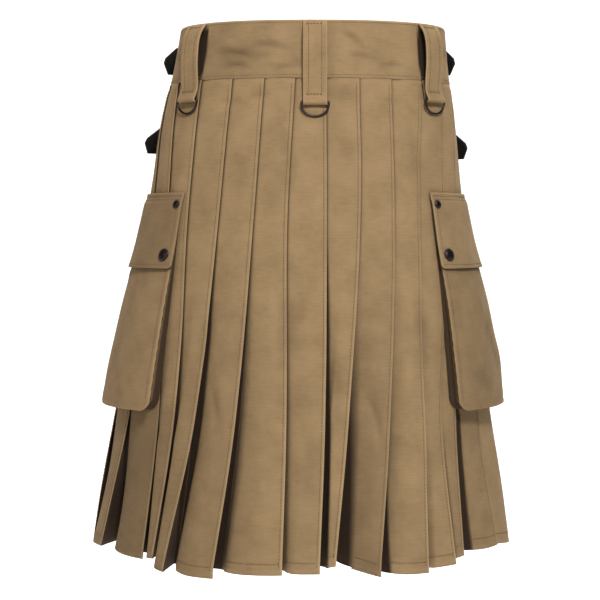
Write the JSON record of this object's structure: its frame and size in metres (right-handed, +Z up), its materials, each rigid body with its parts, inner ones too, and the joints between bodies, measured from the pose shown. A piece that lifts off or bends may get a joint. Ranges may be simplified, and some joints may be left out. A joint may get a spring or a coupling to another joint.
{
  "type": "utility kilt",
  "caption": "Knee-length pleated utility kilt in cotton twill with cargo pockets, belt loops with D-rings and leather side straps.",
  "frame": {"origin": "centre of the waist ring, level with the waistband's top edge, where the wearer holds it up", "axes": "+Z up, +X towards the wearer's right, +Y out of the front, so the pleated back faces -Y"},
  "size_m": [0.4995, 0.3943, 0.617],
  "materials": {
    "twill": "matt khaki cotton twill",
    "leather": "black, semi-matt",
    "gunmetal": "dark gunmetal plate",
    "steel": "bright nickel plate"
  },
  "bodies": {
    "kilt": {"skirt_side_left": "twill", "skirt_back_left": "twill", "skirt_back_mid_left": "twill", "skirt_back_mid_right": "twill", "skirt_back_right": "twill", "skirt_hip_right": "twill", "skirt_side_right": "twill", "over_apron": "twill", "under_apron": "twill", "waistband_back": "twill", "waistband_over": "twill", "waistband_under": "twill", "loop_back_left": "twill", "loop_back_centre": "twill", "loop_back_right": "twill", "loop_front_left": "twill", "loop_front_right": "twill", "pocket_front_left": "twill", "pocket_gusset_left": "twill", "pocket_flap_left": "twill", "snap_small_inner_left": "gunmetal", "snap_small_outer_left": "gunmetal", "snap_large_inner_left": "gunmetal", "snap_large_outer_left": "gunmetal", "pocket_front_right": "twill", "pocket_gusset_right": "twill", "pocket_flap_right": "twill", "snap_small_inner_right": "gunmetal", "snap_small_outer_right": "gunmetal", "snap_large_inner_right": "gunmetal", "snap_large_outer_right": "gunmetal", "strap_upper_left": "leather", "rivet_upper_left": "steel", "buckle_upper_left": "steel", "buckle_tab_upper_left": "steel", "strap_upper_right": "leather", "rivet_upper_right": "steel", "buckle_upper_right": "steel", "buckle_tab_upper_right": "steel", "strap_lower_left": "leather", "rivet_lower_left": "steel", "buckle_lower_left": "steel", "buckle_tab_lower_left": "steel", "strap_lower_right": "leather", "rivet_lower_right": "steel", "buckle_lower_right": "steel", "buckle_tab_lower_right": "steel"},
    "left_ring": {"d_ring_back_left": "gunmetal"},
    "centre_ring": {"d_ring_back_centre": "gunmetal"},
    "right_ring": {"d_ring_back_right": "gunmetal"}
  },
  "joints": [
    {"name": "left_ring_swing", "type": "hinge", "parent": "kilt", "child": "left_ring", "pos_m": [-0.14368, -0.08128, -0.088], "axis": [-0.7478, 0.6639, 0], "range_deg": [0, 140]},
    {"name": "centre_ring_swing", "type": "hinge", "parent": "kilt", "child": "centre_ring", "pos_m": [0.00237, -0.12034, -0.094], "axis": [-1, -0.0032, 0], "range_deg": [0, 140]},
    {"name": "right_ring_swing", "type": "hinge", "parent": "kilt", "child": "right_ring", "pos_m": [0.13987, -0.07837, -0.088], "axis": [-0.741, -0.6715, 0], "range_deg": [0, 140]}
  ]
}
